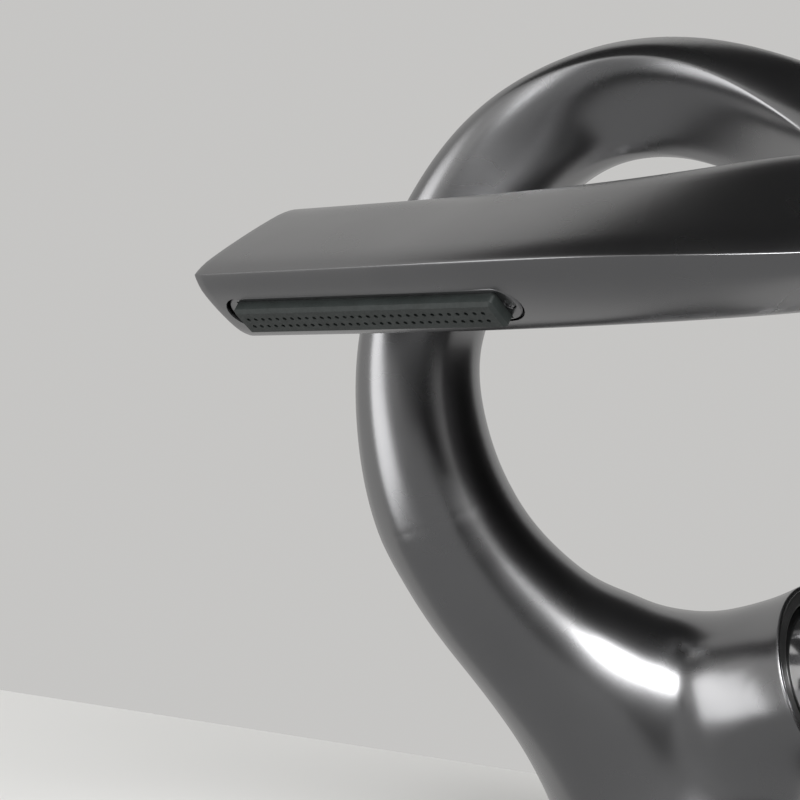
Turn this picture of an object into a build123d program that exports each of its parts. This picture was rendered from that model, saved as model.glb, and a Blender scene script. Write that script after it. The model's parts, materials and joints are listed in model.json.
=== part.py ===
"""Single-lever basin mixer whose spout rises from the base, loops over itself and ends in a wide bar.

Millimetres. Z is up, the origin is the centre of the base on the deck, the basin lies towards -Y and
the handle points towards +X.
"""

from build123d import *

import os
from math import cos, radians, sin
from typing import NamedTuple

# ---------------------------------------------------------------- driving dimensions

# Base and fixing
BASE_RADIUS = 31.5
TRUNK_RADIUS = 24.5
TRUNK_HEIGHT = 38.7
RECESS_RADIUS = 21.0
RECESS_DEPTH = 6.0
GASKET_INNER = 22.5
GASKET_OUTER = 26.0
GASKET_THICKNESS = 2.0
DECK_THICKNESS = 25.0
STUD_RADIUS = 3.95
STUD_HOLE_RADIUS = 4.0
STUD_X = 11.0
STUD_TOP = 17.5
STUD_BOTTOM = -50.0
INLET_RADIUS = 4.5
INLET_X = -8.0
INLET_Y = 7.5
INLET_TOP = 18.0
STUD_CHAMFER = 0.6
PILOT_RADIUS = 3.2
PILOT_LENGTH = 8.0
CRESCENT_RADIUS = 24.0
CRESCENT_RUBBER = 3.0
CRESCENT_STEEL = 2.5
CRESCENT_ROUND = 1.0
HOSE_GAP = 27.0
NUT_ACROSS = 13.0
NUT_HEIGHT = 8.0
PORT_RADIUS = 3.0
CRESCENT_SET = 0.4
TRUNK_WAIST = (30.0, 15.0)
BRANCH_WAIST = (20.0, 20.9)

# Handle axis, tilted up from the deck
HANDLE_TILT = 18.0
SEAT = -4.0
MOUTH = 40.0
MOUTH_RADIUS = 22.5
CHAMBER_RADIUS = 17.7
TILT_CENTRE = 33.0
REST_TILT = 10.0

MOUTH_BORE = 19.0
RING_SEAT = 36.5
RING_RADIUS = 21.3
RING_BORE = 18.5
RING_SET = 0.3
RING_ROUND = 0.6
PORT_DEPTH = 8.0
PORT_LEAD = 1.0

# Clearances
CLEARANCE = 0.1
RUNNING_GAP = 0.05
EDGE_BREAK = 0.5

# Cartridge
HOUSING_RADIUS = 15.9
CAVITY_RADIUS = 13.5
NECK_RADIUS = 11.0
NECK_BORE = 9.0
ARM_LENGTH = 24.0
ARM_RADIUS = 2.2
BALL_RADIUS = 3.0
STEM_HALF = 4.0
STEM_END = 9.5
STEM_DEPTH = 8.0
STEM_WIDTH = 7.0
BASE_PLATE = 2.0
SHOULDER = 16.0
CAVITY_END = 14.0
NECK_END = 34.5
NUT_END = 22.0
NOTCH_DEPTH = 2.0
NOTCH_RING = 14.4
NOTCH_COUNT = 6
NOTCH_LENGTH = 3.0
NOTCH_WIDTH = 3.0
SEAL_DEPTH = 1.2
SEAL_OUTER = 4.2
DISC_FACE = 2.2
DISC_GAP = 0.02
DISC_TOP = 4.2
DISC_RADIUS = 8.9
POCKET_LENGTH = 13.0
POCKET_WIDTH = 8.0
POCKET_DEPTH = 1.2
CARRIER_TOP = 5.4
CUP_TOP = 10.8
CUP_RADIUS = 5.4
CUP_BORE = 3.5
FLANGE_START = 11.3
FLANGE_END = 13.8
ROTOR_END = 36.0
ROTOR_SLOT = 14.0
PIN_LENGTH = 17.0
PORT_SPACING = 7.5
MIX_OFFSET = 7.0
PIN_RADIUS = 1.5

# Handle
CAP_RADIUS = 18.2
CAP_FACE = 11.8
CAP_WALL = 2.0
LEVER_LENGTH = 62.0
LEVER_RADIUS = 4.5
LEVER_FLARE = 1.0
LEVER_WAIST = 0.6
LEVER_WAIST_HEIGHT = 8.0
HUB_START = 5.5
HUB_RADIUS = 8.0
CAP_SKIRT = 1.5
CAP_ROUND = 2.0
STEP_HEIGHT = 0.8
STEP_RADIUS = 11.0
STEP_ROUND = 0.5
STUB_START = 9.8
STUB_RADIUS = 2.5
GRUB_RADIUS = 2.5
GRUB_END = 9.5
SCREW_HEIGHT = 7.5
HEX_ACROSS = 2.5
HEX_DEPTH = 2.5
PLUG_START = 14.2
PLUG_END = 16.2

# Spout bar and outlet
BAR_Y = -100.5
BAR_Z = 142.0
TIP_X = -40.5
OUTLET_X = -1.5
OUTLET_LENGTH = 74.0
OUTLET_WIDTH = 10.0
OUTLET_DEPTH = 3.2
OUTLET_CLEAR = 6.0
TIP_ROUND = 2.5
TIP_SIDE = 9.5
THROAT_DEPTH = 16.0
THROAT_LENGTH = 60.0
THROAT_WIDTH = 5.6
SCREW_SPACING = 68.8
SCREW_RADIUS = 1.2
SCREW_DEPTH = 8.0
SCREW_SET = 0.4
HOLDER_LENGTH = 73.2
HOLDER_WIDTH = 9.2
HOLDER_BACK = -2.6
HOLDER_FRONT = -0.3
HOLDER_ROUND = 0.5
NOZZLE_LENGTH = 66.0
NOZZLE_WIDTH = 7.4
NOZZLE_BACK = -2.6
NOZZLE_FRONT = 2.4
NOZZLE_ROUND = 0.8
NOZZLE_CHAMFER = 0.7
NOZZLE_DROP = 0.2
JET_PITCH = 2.0
JET_ROW = 2.2
JET_COUNT = 31
JET_RADIUS = 0.45
SCREEN_BACK = -7.0
SCREEN_FRONT = -4.0
SCREEN_PITCH = 1.6
SCREEN_HOLE = 1.1
SCREEN_COLUMNS = 34
WALL_SHARE = 0.5
WATERWAY_END = TIP_X + 2


# ---------------------------------------------------------------- the spout's path and sections


class Station(NamedTuple):
    """One section of the spout: where it is, which way its front ridge points, and its outline.

    reach is from the centre to the front ridge, height from the centre to the upper ridge, and lean
    moves the upper ridge towards the front ridge. round is 0 for a sharp lozenge and 0.55 for an oval.
    size scales the outline, and past moves it on, square to the path, to round off the tip.
    """

    name: str
    place: tuple
    front: tuple
    reach: float
    height: float
    lean: float
    round: float
    size: float = 1.0
    past: float = 0.0


STATIONS = [
    Station("root", (-1, -1, 20), (0.5, 0.85, 0), 24.5, 24.5, 0, 0.55),
    Station("fork", (-13, -16, 43), (0.5, 0.8, 0.3), 23, 23, 0, 0.55),
    Station("leaning", (-23.5, -30, 60), (0.5, 0.8, 0.3), 19, 19.5, 0, 0.54),
    Station("neck", (-30.5, -40, 73), (0.5, 0.8, 0.3), 17.5, 17.5, 0, 0.52),
    Station("stem", (-36.5, -48.5, 90), (0.45, 0.85, 0.2), 16.5, 15.5, 0, 0.5),
    Station("rise", (-39, -53, 108), (0.45, 0.89, 0.1), 15.5, 13.5, 0, 0.48),
    Station("waist", (-38.5, -54, 128), (0.4, 0.92, -0.1), 15, 12, -0.5, 0.44),
    Station("shoulder", (-31, -49.5, 151), (0.2, 0.9, -0.38), 16, 13, -1.5, 0.36),
    Station("bend", (-17.5, -40.5, 171.5), (-0.06, 0.84, -0.55), 17, 13.2, -2.5, 0.28),
    Station("crown", (-1, -28, 182.5), (-0.33, 0.83, -0.44), 17.5, 12.8, -3, 0.25),
    Station("crest", (15.6, -20.9, 182.4), (-0.2, 0.95, -0.33), 18, 13.2, -3, 0.24),
    Station("fall", (37.7, -15.4, 174), (0, 0.98, -0.2), 18.5, 14, -3.5, 0.22),
    Station("curl", (62, -19, 163.5), (0.45, 0.85, -0.12), 19, 14.3, -4, 0.22),
    Station("swing", (79, -36, 155), (0.85, 0.5, -0.12), 20, 14, -5, 0.2),
    Station("turn", (84.5, -58, 149.5), (0.98, -0.1, -0.15), 21.5, 13.6, -6, 0.18),
    Station("sweep", (75, -83, 145.8), (0.75, -0.65, -0.2), 23, 13.6, -7, 0.16),
    Station("elbow", (54, -96, 143.5), (0.3, -0.93, -0.12), 23.5, 13.6, -7.4, 0.15),
    Station("bar", (28, BAR_Y, 142.3), (0.03, -1, -0.07), 23.5, 13.6, -7.4, 0.14),
    Station("slot", (-8, BAR_Y, BAR_Z), (0, -1, -0.06), 23.5, 13.6, -7.4, 0.14),
    Station("stop", (WATERWAY_END, BAR_Y, BAR_Z), (0, -1, -0.06), 23.5, 13.6, -7.4, 0.14),
    Station("tip", (TIP_X, BAR_Y, BAR_Z), (0, -1, -0.06), 23.5, 13.6, -7.4, 0.14),
]
WATERWAY_FIRST = 1
WATERWAY_LAST = 19

with BuildLine() as path:
    spine = Spline(*[station.place for station in STATIONS])

for angle in (22.5, 45, 67.5, 90):
    turn = radians(angle)
    smaller = 1 - TIP_ROUND * (1 - cos(turn)) / TIP_SIDE
    tip_part = STATIONS[-1]._replace(name=f"tip turned {angle}", past=TIP_ROUND * sin(turn), size=smaller)
    STATIONS.append(tip_part)


def station_plane(station):
    """Plane across the spout: local X to the front ridge, local Y to the upper ridge."""
    along = spine.tangent_at(station.place)
    front = Vector(*station.front)
    return Plane(station.place, x_dir=front - along * front.dot(along), z_dir=along).offset(station.past)


def bend_points(station, share=1.0):
    """The outline of a station as rows of four control points, one row for each side, ridge to ridge."""
    plane = station_plane(station)
    front = Vector(station.reach, 0) * share * station.size
    upper = Vector(station.lean, station.height) * share * station.size
    ridges = [front, upper, -front, -upper]
    rows = []
    for corner, start in enumerate(ridges):
        end = ridges[(corner + 1) % len(ridges)]
        bends = (start, start + end * station.round, end + start * station.round, end)
        rows.append([plane.from_local_coords(bend) for bend in bends])
    return rows


def tube_along(stations, share=1.0):
    """Closed solid through the stations: smooth patches from station to station, with flat ends."""
    outlines = [bend_points(station, share) for station in stations]
    last = len(stations) - 1
    centres = [station_plane(station).origin for station in stations]
    widths = [station.reach * station.size for station in stations]
    steps = [(centres[k + 1] - centres[k]).length + abs(widths[k + 1] - widths[k]) for k in range(last)]

    def slope(k, side, bend):
        """How fast one control point moves along the path at station k."""
        rates = [
            (outlines[m + 1][side][bend] - outlines[m][side][bend]) * (1 / steps[m])
            for m in (k - 1, k)
            if 0 <= m < last
        ]
        if len(rates) == 1:
            return rates[0]
        before, after = steps[k - 1], steps[k]
        return (rates[0] * after + rates[1] * before) * (1 / (before + after))

    faces = []
    for k in range(last):
        for side in range(4):
            net = []
            for bend in range(4):
                first = outlines[k][side][bend]
                final = outlines[k + 1][side][bend]
                reach = steps[k] / 3
                leave = first + slope(k, side, bend) * reach
                arrive = final - slope(k + 1, side, bend) * reach
                net.append([first, leave, arrive, final])
            faces.append(Face.make_bezier_surface(net))
    for end in (outlines[0], outlines[last]):
        faces.append(Face(Wire([Edge.make_bezier(*row) for row in end])))
    return Solid(Shell(faces))


# ---------------------------------------------------------------- working planes and helpers

TILT = radians(HANDLE_TILT)
HANDLE_PLANE = Plane(
    (0, 0, TRUNK_HEIGHT), x_dir=(-sin(TILT), 0, cos(TILT)), z_dir=(cos(TILT), 0, sin(TILT))
)
HANDLE_AXIS = Axis(HANDLE_PLANE.origin, HANDLE_PLANE.z_dir)
PIVOT = HANDLE_PLANE.from_local_coords(Vector(0, 0, TILT_CENTRE))
LEVER_TILT = radians(HANDLE_TILT - REST_TILT)
LEVER_PLANE = Plane(
    PIVOT, x_dir=(-sin(LEVER_TILT), 0, cos(LEVER_TILT)), z_dir=(cos(LEVER_TILT), 0, sin(LEVER_TILT))
)
LEVER_AXIS = Axis(LEVER_PLANE.origin, LEVER_PLANE.z_dir)
DISC_SHIFT = ARM_LENGTH * sin(radians(REST_TILT))

PIN_PLANE = Plane(PIVOT, x_dir=HANDLE_PLANE.x_dir, z_dir=(0, -1, 0))
SCREW_PLANE = Plane(
    LEVER_PLANE.from_local_coords(Vector(0, 0, SCREW_HEIGHT)), x_dir=(0, 1, 0), z_dir=-LEVER_PLANE.x_dir
)
DISC_CENTRE = HANDLE_PLANE.from_local_coords(Vector(DISC_SHIFT, 0, 0))
DISC_PLANE = Plane(DISC_CENTRE, x_dir=HANDLE_PLANE.x_dir, z_dir=HANDLE_PLANE.z_dir)
INLETS = ((INLET_X, -INLET_Y), (INLET_X, INLET_Y))
SIDE_PORTS = ((0, -PORT_SPACING), (0, PORT_SPACING))
MIX_PORT = ((MIX_OFFSET, 0),)

BAR_STATION = STATIONS[WATERWAY_LAST]
BAR_FRAME = station_plane(BAR_STATION)
FRONT_RIDGE = BAR_FRAME.from_local_coords(Vector(BAR_STATION.reach, 0))
LOWER_RIDGE = BAR_FRAME.from_local_coords(Vector(-BAR_STATION.lean, -BAR_STATION.height))
FACE_UP = (FRONT_RIDGE - LOWER_RIDGE).normalized()
FACE_OUT = Vector(1, 0, 0).cross(FACE_UP)
FACE_SHARE = 0.55
FACE_CENTRE = FRONT_RIDGE + (LOWER_RIDGE - FRONT_RIDGE) * FACE_SHARE
FACE_BULGE = 1.3
OUTLET_PLANE = Plane(
    Vector(OUTLET_X, FACE_CENTRE.Y, FACE_CENTRE.Z) + FACE_OUT * FACE_BULGE, x_dir=(1, 0, 0), z_dir=FACE_OUT
)
OUTLET_AXIS = Axis(OUTLET_PLANE.origin, OUTLET_PLANE.z_dir)
NOZZLE_PLANE = Plane(
    OUTLET_PLANE.origin + FACE_UP * -NOZZLE_DROP, x_dir=OUTLET_PLANE.x_dir, z_dir=OUTLET_PLANE.z_dir
)
SCREW_SPOTS = ((-SCREW_SPACING / 2, 0), (SCREW_SPACING / 2, 0))


def round_bar(plane, start, end, radius, mode=Mode.ADD, spots=((0, 0),)):
    """Round bars between two heights over a plane, added to or cut from the open part."""
    with BuildSketch(plane.offset(start)) as ends:
        with Locations(*spots):
            Circle(radius)
    extrude(ends.sketch, amount=end - start, dir=plane.z_dir, mode=mode)


def tube(plane, start, end, outer, inner, spots=((0, 0),)):
    """Plain rings between two heights over a plane, added to the open part."""
    with BuildSketch(plane.offset(start)) as ends:
        with Locations(*spots):
            Circle(outer)
            Circle(inner, mode=Mode.SUBTRACT)
    extrude(ends.sketch, amount=end - start, dir=plane.z_dir)


def slot_bar(plane, start, end, length, width, mode=Mode.ADD):
    """A bar with a stadium outline between two heights over a plane."""
    with BuildSketch(plane.offset(start)) as ends:
        SlotOverall(length, width)
    extrude(ends.sketch, amount=end - start, dir=plane.z_dir, mode=mode)


def box_bar(plane, start, end, length, width, mode=Mode.ADD):
    """A rectangular bar between two heights over a plane."""
    with BuildSketch(plane.offset(start)) as ends:
        Rectangle(length, width)
    extrude(ends.sketch, amount=end - start, dir=plane.z_dir, mode=mode)


def write(part, name):
    """Labels one finished piece and writes it as its own file."""
    part.label = name
    export_step(part, f"parts/{name}.step")


os.makedirs("parts", exist_ok=True)

# ---------------------------------------------------------------- body

with BuildPart() as body_casting:
    add(tube_along(STATIONS))
    with BuildSketch(Plane.XZ) as trunk_profile:
        with BuildLine():
            foot = Line((0, 0), (BASE_RADIUS, 0))
            flare = Spline(foot @ 1, TRUNK_WAIST, (TRUNK_RADIUS, TRUNK_HEIGHT), tangents=((-0.02, 1), (0, 1)))
            CenterArc((0, TRUNK_HEIGHT), TRUNK_RADIUS, 0, 90)
            Line((0, TRUNK_HEIGHT + TRUNK_RADIUS), (0, 0))
        make_face()
    revolve(trunk_profile.sketch, axis=Axis.Z)
    branch_plane = Plane(HANDLE_PLANE.origin, x_dir=HANDLE_PLANE.z_dir, z_dir=(0, -1, 0))
    with BuildSketch(branch_plane) as branch_profile:
        with BuildLine():
            Line((0, 0), (0, TRUNK_RADIUS))
            Spline((0, TRUNK_RADIUS), BRANCH_WAIST, (MOUTH, MOUTH_RADIUS), tangents=((1, 0), (1, 0.13)))
            Line((MOUTH, MOUTH_RADIUS), (MOUTH, 0))
            Line((MOUTH, 0), (0, 0))
        make_face()
    revolve(branch_profile.sketch, axis=HANDLE_AXIS)

    # Underside: recess, gasket groove, tapped inlets and tapped stud hole
    round_bar(Plane.XY, 0, RECESS_DEPTH, RECESS_RADIUS, Mode.SUBTRACT)
    with BuildSketch(Plane.XY) as groove:
        Circle(GASKET_OUTER)
        Circle(GASKET_INNER, mode=Mode.SUBTRACT)
    extrude(groove.sketch, amount=GASKET_THICKNESS, dir=(0, 0, 1), mode=Mode.SUBTRACT)
    round_bar(Plane.XY, RECESS_DEPTH, INLET_TOP, INLET_RADIUS, Mode.SUBTRACT, INLETS)
    round_bar(Plane.XY, INLET_TOP, TRUNK_HEIGHT, PORT_RADIUS, Mode.SUBTRACT, INLETS)
    round_bar(Plane.XY, RECESS_DEPTH, INLET_TOP, STUD_HOLE_RADIUS, Mode.SUBTRACT, ((STUD_X, 0),))

    # Cartridge chamber, its wider mouth, and the ports behind its seat
    round_bar(HANDLE_PLANE, SEAT, NUT_END, CHAMBER_RADIUS, Mode.SUBTRACT)
    round_bar(HANDLE_PLANE, NUT_END, RING_SEAT, MOUTH_BORE, Mode.SUBTRACT)
    round_bar(HANDLE_PLANE, RING_SEAT, MOUTH, RING_RADIUS + CLEARANCE, Mode.SUBTRACT)
    round_bar(HANDLE_PLANE, SEAT - PORT_DEPTH, SEAT, PORT_RADIUS, Mode.SUBTRACT, SIDE_PORTS)
    mix_start = HANDLE_PLANE.from_local_coords(Vector(MIX_OFFSET, 0, SEAT))
    mix_run = Vector(*STATIONS[WATERWAY_FIRST].place) - mix_start
    round_bar(Plane(mix_start, z_dir=mix_run), -PORT_LEAD, mix_run.length, PORT_RADIUS, Mode.SUBTRACT)

    # Waterway through the loop, and the slotted outlet under the bar
    add(tube_along(STATIONS[WATERWAY_FIRST : WATERWAY_LAST + 1], WALL_SHARE), mode=Mode.SUBTRACT)
    slot_bar(OUTLET_PLANE, -OUTLET_DEPTH, OUTLET_CLEAR, OUTLET_LENGTH, OUTLET_WIDTH, Mode.SUBTRACT)
    slot_bar(OUTLET_PLANE, -THROAT_DEPTH, 0, THROAT_LENGTH, THROAT_WIDTH, Mode.SUBTRACT)
    round_bar(OUTLET_PLANE, -SCREW_DEPTH, 0, SCREW_RADIUS, Mode.SUBTRACT, SCREW_SPOTS)

write(body_casting.part, "body_casting")

# ---------------------------------------------------------------- fixing to the deck

with BuildPart() as base_gasket:
    tube(Plane.XY, 0, GASKET_THICKNESS, GASKET_OUTER - CLEARANCE, GASKET_INNER + CLEARANCE)

write(base_gasket.part, "base_gasket")

with BuildPart() as mounting_stud:
    round_bar(Plane.XY, STUD_BOTTOM, STUD_TOP, STUD_RADIUS, spots=((STUD_X, 0),))
    chamfer(mounting_stud.edges().filter_by(GeomType.CIRCLE), STUD_CHAMFER)
    round_bar(Plane.XY, STUD_BOTTOM - PILOT_LENGTH, STUD_BOTTOM, PILOT_RADIUS, spots=((STUD_X, 0),))

write(mounting_stud.part, "mounting_stud")


def crescent(top, thickness, inner_shrink, name):
    """A horseshoe washer round the stud, open towards the hoses, with its top at a height."""
    with BuildPart() as washer:
        with BuildSketch(Plane.XY.offset(top - thickness)):
            Circle(CRESCENT_RADIUS)
            with Locations((INLET_X, 0)):
                Circle(HOSE_GAP / 2 + inner_shrink, mode=Mode.SUBTRACT)
            with Locations((INLET_X - CRESCENT_RADIUS / 2, 0)):
                Rectangle(CRESCENT_RADIUS, HOSE_GAP + 2 * inner_shrink, mode=Mode.SUBTRACT)
            with Locations((STUD_X, 0)):
                Circle(STUD_HOLE_RADIUS + CLEARANCE, mode=Mode.SUBTRACT)
        extrude(amount=thickness)
        fillet(washer.edges().filter_by(Axis.Z), CRESCENT_ROUND)
    write(washer.part, name)


crescent(-DECK_THICKNESS, CRESCENT_RUBBER, 0, "clamp_washer_rubber")
crescent(-DECK_THICKNESS - CRESCENT_RUBBER, CRESCENT_STEEL, CRESCENT_SET, "clamp_washer_steel")

with BuildPart() as mounting_nut:
    nut_top = -DECK_THICKNESS - CRESCENT_RUBBER - CRESCENT_STEEL
    with BuildSketch(Plane.XY.offset(nut_top - NUT_HEIGHT)):
        with Locations((STUD_X, 0)):
            RegularPolygon(NUT_ACROSS / 2, 6, major_radius=False)
            Circle(STUD_HOLE_RADIUS, mode=Mode.SUBTRACT)
    extrude(amount=NUT_HEIGHT)
    chamfer(mounting_nut.edges().filter_by(GeomType.CIRCLE), STUD_CHAMFER)

write(mounting_nut.part, "mounting_nut")

# ---------------------------------------------------------------- cartridge

with BuildPart() as cartridge_base:
    round_bar(HANDLE_PLANE, SEAT, SEAT + BASE_PLATE, HOUSING_RADIUS)
    round_bar(HANDLE_PLANE, SEAT + BASE_PLATE, 0, CAVITY_RADIUS - CLEARANCE)
    for spots, radius in ((SIDE_PORTS, PORT_RADIUS), (MIX_PORT, PORT_RADIUS)):
        round_bar(HANDLE_PLANE, SEAT, 0, radius, Mode.SUBTRACT, spots)
        round_bar(HANDLE_PLANE, SEAT, SEAT + SEAL_DEPTH, SEAL_OUTER + CLEARANCE, Mode.SUBTRACT, spots)

write(cartridge_base.part, "cartridge_base")

with BuildPart() as cartridge_seals:
    tube(HANDLE_PLANE, SEAT, SEAT + SEAL_DEPTH, SEAL_OUTER, PORT_RADIUS, [*SIDE_PORTS, *MIX_PORT])

write(cartridge_seals.part, "cartridge_seals")

with BuildPart() as cartridge_housing:
    round_bar(HANDLE_PLANE, SEAT + BASE_PLATE, SHOULDER, HOUSING_RADIUS)
    round_bar(HANDLE_PLANE, SHOULDER, NECK_END, NECK_RADIUS)
    round_bar(HANDLE_PLANE, SEAT + BASE_PLATE, CAVITY_END, CAVITY_RADIUS, Mode.SUBTRACT)
    round_bar(HANDLE_PLANE, CAVITY_END, NECK_END, NECK_BORE, Mode.SUBTRACT)
    chamfer(cartridge_housing.edges().filter_by(GeomType.CIRCLE).sort_by(HANDLE_AXIS)[-2:], EDGE_BREAK)

write(cartridge_housing.part, "cartridge_housing")

with BuildPart() as fixed_disc:
    round_bar(HANDLE_PLANE, 0, DISC_FACE, CAVITY_RADIUS - 2 * CLEARANCE)
    round_bar(HANDLE_PLANE, 0, DISC_FACE, PORT_RADIUS, Mode.SUBTRACT, [*SIDE_PORTS, *MIX_PORT])

write(fixed_disc.part, "fixed_disc")

with BuildPart() as moving_disc:
    round_bar(DISC_PLANE, DISC_FACE + DISC_GAP, DISC_TOP, DISC_RADIUS)
    with BuildSketch(DISC_PLANE.offset(DISC_FACE + DISC_GAP)) as mixing_pocket:
        SlotOverall(POCKET_LENGTH, POCKET_WIDTH, rotation=90)
    extrude(mixing_pocket.sketch, amount=POCKET_DEPTH, dir=DISC_PLANE.z_dir, mode=Mode.SUBTRACT)

write(moving_disc.part, "moving_disc")

with BuildPart() as disc_carrier:
    round_bar(DISC_PLANE, DISC_TOP, CARRIER_TOP, DISC_RADIUS)
    round_bar(DISC_PLANE, CARRIER_TOP, CUP_TOP, CUP_RADIUS)
    round_bar(DISC_PLANE, CARRIER_TOP, CUP_TOP, CUP_BORE, Mode.SUBTRACT)

write(disc_carrier.part, "disc_carrier")

with BuildPart() as cartridge_rotor:
    round_bar(HANDLE_PLANE, FLANGE_START, FLANGE_END, CAVITY_RADIUS - 2 * CLEARANCE)
    round_bar(HANDLE_PLANE, FLANGE_END, ROTOR_END, NECK_BORE - RUNNING_GAP)
    box_bar(HANDLE_PLANE, FLANGE_START, ROTOR_END, ROTOR_SLOT, STEM_WIDTH + 2 * CLEARANCE, Mode.SUBTRACT)
    round_bar(PIN_PLANE, -PIN_LENGTH / 2, PIN_LENGTH / 2, PIN_RADIUS, Mode.SUBTRACT)

write(cartridge_rotor.part, "cartridge_rotor")

with BuildPart() as stem_pin:
    round_bar(PIN_PLANE, -PIN_LENGTH / 2, PIN_LENGTH / 2, PIN_RADIUS)

write(stem_pin.part, "stem_pin")

with BuildPart() as cartridge_stem:
    box_bar(LEVER_PLANE, -STEM_HALF, STEM_END, STEM_DEPTH, STEM_WIDTH)
    round_bar(LEVER_PLANE, -ARM_LENGTH, -STEM_HALF, ARM_RADIUS)
    with Locations(LEVER_PLANE.offset(-ARM_LENGTH)):
        Sphere(BALL_RADIUS)
    round_bar(PIN_PLANE, -STEM_WIDTH, STEM_WIDTH, PIN_RADIUS + RUNNING_GAP, Mode.SUBTRACT)
    chamfer(cartridge_stem.faces().sort_by(LEVER_AXIS)[-1].edges(), EDGE_BREAK)

write(cartridge_stem.part, "cartridge_stem")

with BuildPart() as cartridge_nut:
    tube(HANDLE_PLANE, SHOULDER, NUT_END, CHAMBER_RADIUS - CLEARANCE, NECK_RADIUS + CLEARANCE)
    with BuildSketch(HANDLE_PLANE.offset(NUT_END - NOTCH_DEPTH)) as notches:
        with PolarLocations(NOTCH_RING, NOTCH_COUNT):
            Rectangle(NOTCH_LENGTH, NOTCH_WIDTH)
    extrude(notches.sketch, amount=NOTCH_DEPTH, dir=HANDLE_PLANE.z_dir, mode=Mode.SUBTRACT)

write(cartridge_nut.part, "cartridge_nut")

with BuildPart() as trim_ring:
    tube(HANDLE_PLANE, RING_SEAT, MOUTH - RING_SET, RING_RADIUS, RING_BORE)
    fillet(trim_ring.edges().filter_by(GeomType.CIRCLE).sort_by(HANDLE_AXIS)[-2:], RING_ROUND)

write(trim_ring.part, "trim_ring")

# ---------------------------------------------------------------- handle

with BuildPart() as cap_hollow:
    with Locations(LEVER_PLANE):
        Sphere(CAP_RADIUS - CAP_WALL)
    split(bisect_by=LEVER_PLANE.offset(CAP_FACE - CAP_WALL), keep=Keep.BOTTOM)

with BuildPart() as handle_cap:
    with Locations(LEVER_PLANE):
        Sphere(CAP_RADIUS)
    split(bisect_by=LEVER_PLANE.offset(-CAP_SKIRT), keep=Keep.TOP)
    split(bisect_by=LEVER_PLANE.offset(CAP_FACE), keep=Keep.BOTTOM)
    fillet(handle_cap.edges().filter_by(GeomType.CIRCLE).sort_by(LEVER_AXIS)[-1], CAP_ROUND)
    add(cap_hollow.part, mode=Mode.SUBTRACT)
    round_bar(LEVER_PLANE, HUB_START, CAP_FACE, HUB_RADIUS)
    round_bar(LEVER_PLANE, CAP_FACE, CAP_FACE + STEP_HEIGHT, STEP_RADIUS)
    fillet(handle_cap.edges().filter_by(GeomType.CIRCLE).sort_by(LEVER_AXIS)[-1], STEP_ROUND)
    socket_end = STEM_END + CLEARANCE
    box_bar(LEVER_PLANE, HUB_START, socket_end, STEM_DEPTH + CLEARANCE, STEM_WIDTH + CLEARANCE, Mode.SUBTRACT)
    round_bar(LEVER_PLANE, STUB_START, CAP_FACE + STEP_HEIGHT, STUB_RADIUS + CLEARANCE, Mode.SUBTRACT)
    round_bar(SCREW_PLANE, STEM_DEPTH / 2, CAP_RADIUS, GRUB_RADIUS + CLEARANCE, Mode.SUBTRACT)

write(handle_cap.part, "handle_cap")

with BuildPart() as handle_lever:
    with BuildSketch(Plane(LEVER_PLANE.origin, x_dir=LEVER_PLANE.z_dir, z_dir=(0, -1, 0))) as lever_profile:
        face_height = CAP_FACE + STEP_HEIGHT
        lever_end = face_height + LEVER_LENGTH
        with BuildLine():
            Polyline(
                (STUB_START, 0),
                (STUB_START, STUB_RADIUS),
                (face_height, STUB_RADIUS),
                (face_height, LEVER_RADIUS + LEVER_FLARE),
            )
            Spline(
                (face_height, LEVER_RADIUS + LEVER_FLARE),
                (face_height + LEVER_WAIST_HEIGHT, LEVER_RADIUS - LEVER_WAIST),
                (lever_end - LEVER_RADIUS, LEVER_RADIUS),
                tangents=((1, -0.4), (1, 0)),
            )
            JernArc((lever_end - LEVER_RADIUS, LEVER_RADIUS), (1, 0), LEVER_RADIUS, -90)
            Line((lever_end, 0), (STUB_START, 0))
        make_face()
    revolve(lever_profile.sketch, axis=LEVER_AXIS)

write(handle_lever.part, "handle_lever")

with BuildPart() as handle_screw:
    round_bar(SCREW_PLANE, STEM_DEPTH / 2 + CLEARANCE, GRUB_END, GRUB_RADIUS)
    with BuildSketch(SCREW_PLANE.offset(GRUB_END)) as hex_socket:
        RegularPolygon(HEX_ACROSS / 2, 6, major_radius=False)
    extrude(hex_socket.sketch, amount=-HEX_DEPTH, dir=SCREW_PLANE.z_dir, mode=Mode.SUBTRACT)

write(handle_screw.part, "handle_screw")

with BuildPart() as screw_plug:
    round_bar(SCREW_PLANE, PLUG_START, PLUG_END, GRUB_RADIUS)

write(screw_plug.part, "screw_plug")

# ---------------------------------------------------------------- outlet

with BuildPart() as outlet_gasket:
    slot_bar(OUTLET_PLANE, -OUTLET_DEPTH, HOLDER_BACK, HOLDER_LENGTH, HOLDER_WIDTH)
    slot_bar(OUTLET_PLANE, -OUTLET_DEPTH, HOLDER_BACK, THROAT_LENGTH, THROAT_WIDTH, Mode.SUBTRACT)
    round_bar(OUTLET_PLANE, -OUTLET_DEPTH, HOLDER_BACK, SCREW_RADIUS + CLEARANCE, Mode.SUBTRACT, SCREW_SPOTS)

write(outlet_gasket.part, "outlet_gasket")

with BuildPart() as outlet_holder:
    slot_bar(OUTLET_PLANE, HOLDER_BACK, HOLDER_FRONT, HOLDER_LENGTH, HOLDER_WIDTH)
    fillet(outlet_holder.faces().sort_by(OUTLET_AXIS)[-1].edges(), HOLDER_ROUND)
    box_bar(NOZZLE_PLANE, HOLDER_BACK, HOLDER_FRONT, NOZZLE_LENGTH, NOZZLE_WIDTH, Mode.SUBTRACT)
    round_bar(OUTLET_PLANE, HOLDER_BACK, HOLDER_FRONT, SCREW_RADIUS + CLEARANCE, Mode.SUBTRACT, SCREW_SPOTS)

write(outlet_holder.part, "outlet_holder")

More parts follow.
